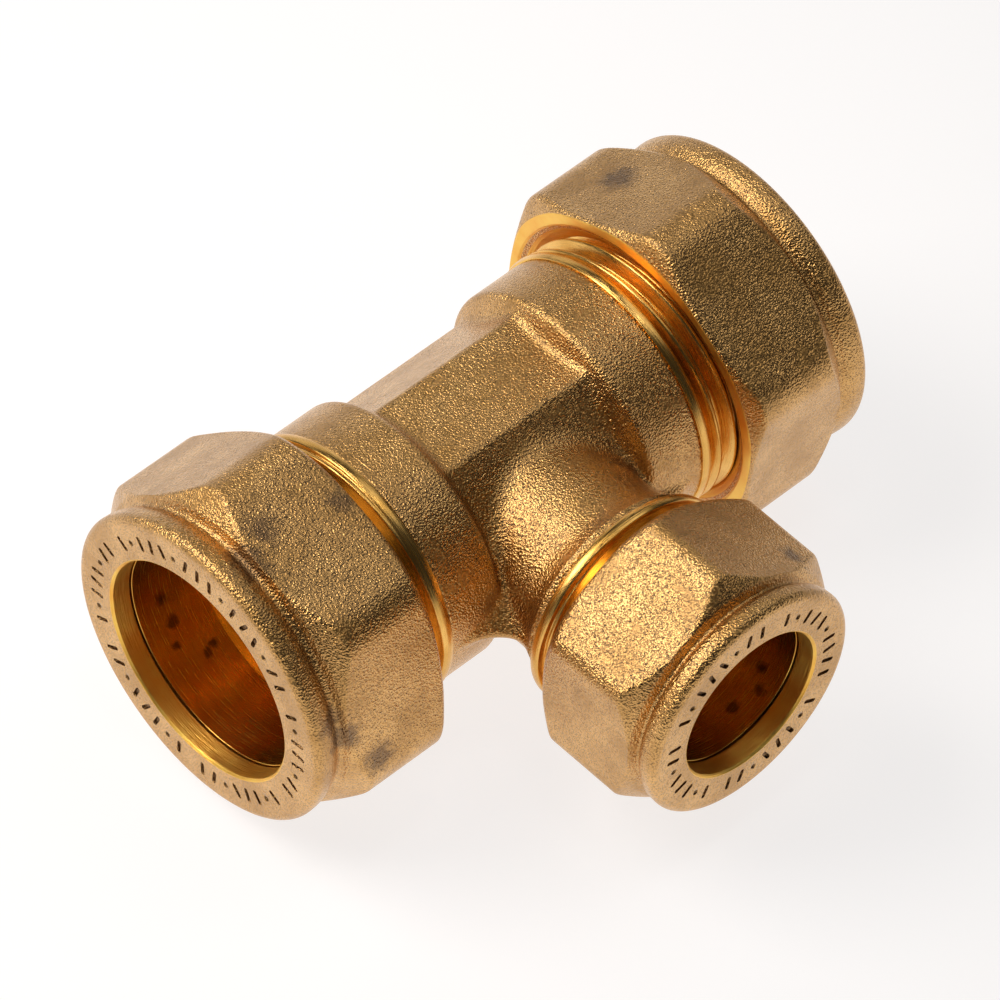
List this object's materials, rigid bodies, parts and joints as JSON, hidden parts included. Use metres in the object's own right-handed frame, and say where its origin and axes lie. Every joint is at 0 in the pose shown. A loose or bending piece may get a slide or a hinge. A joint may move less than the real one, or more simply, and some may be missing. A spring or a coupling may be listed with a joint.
{
  "type": "compression tee fitting",
  "caption": "Brass compression reducing tee: hexagon nuts and olives on threaded spigots join a straight run of pipe to a smaller side branch.",
  "frame": {"origin": "where the axes of the three pipes cross, in the middle of the body's waterway", "axes": "+X along the straight run of pipe, -Y out along the side branch, +Z square to both pipes"},
  "size_m": [0.0666, 0.0518, 0.0348],
  "materials": {
    "cast_brass": "hot-stamped, fine grain, slightly tarnished",
    "forged_brass": "hot-stamped, fine grain, machined faces",
    "turned_brass": "turned, bright"
  },
  "bodies": {
    "tee_body": {"tee_body": "cast_brass"},
    "olive_left": {"olive_left": "turned_brass"},
    "nut_left": {"nut_left": "forged_brass"},
    "olive_right": {"olive_right": "turned_brass"},
    "nut_right": {"nut_right": "forged_brass"},
    "olive_branch": {"olive_branch": "turned_brass"},
    "nut_branch": {"nut_branch": "forged_brass"}
  },
  "joints": [
    {"name": "left_olive_travel", "type": "slide", "parent": "tee_body", "child": "olive_left", "axis": [-1, 0, 0], "range_m": [0, 0.0092]},
    {"name": "left_nut_turn", "type": "hinge", "parent": "olive_left", "child": "nut_left", "pos_m": [-0.0259, 0, 0], "axis": [-1, 0, 0], "range_deg": [0, 1800]},
    {"name": "right_olive_travel", "type": "slide", "parent": "tee_body", "child": "olive_right", "axis": [1, 0, 0], "range_m": [0, 0.0092]},
    {"name": "right_nut_turn", "type": "hinge", "parent": "olive_right", "child": "nut_right", "pos_m": [0.0259, 0, 0], "axis": [1, 0, 0], "range_deg": [0, 1800]},
    {"name": "branch_olive_travel", "type": "slide", "parent": "tee_body", "child": "olive_branch", "axis": [0, -1, 0], "range_m": [0, 0.0092]},
    {"name": "branch_nut_turn", "type": "hinge", "parent": "olive_branch", "child": "nut_branch", "pos_m": [0, -0.028, 0], "axis": [0, -1, 0], "range_deg": [0, 1800]}
  ],
  "couplings": [
    {"joint": "left_olive_travel", "follows": "left_nut_turn", "m_per_rad": 0.00028875},
    {"joint": "right_olive_travel", "follows": "right_nut_turn", "m_per_rad": 0.00028875},
    {"joint": "branch_olive_travel", "follows": "branch_nut_turn", "m_per_rad": 0.00028875}
  ]
}
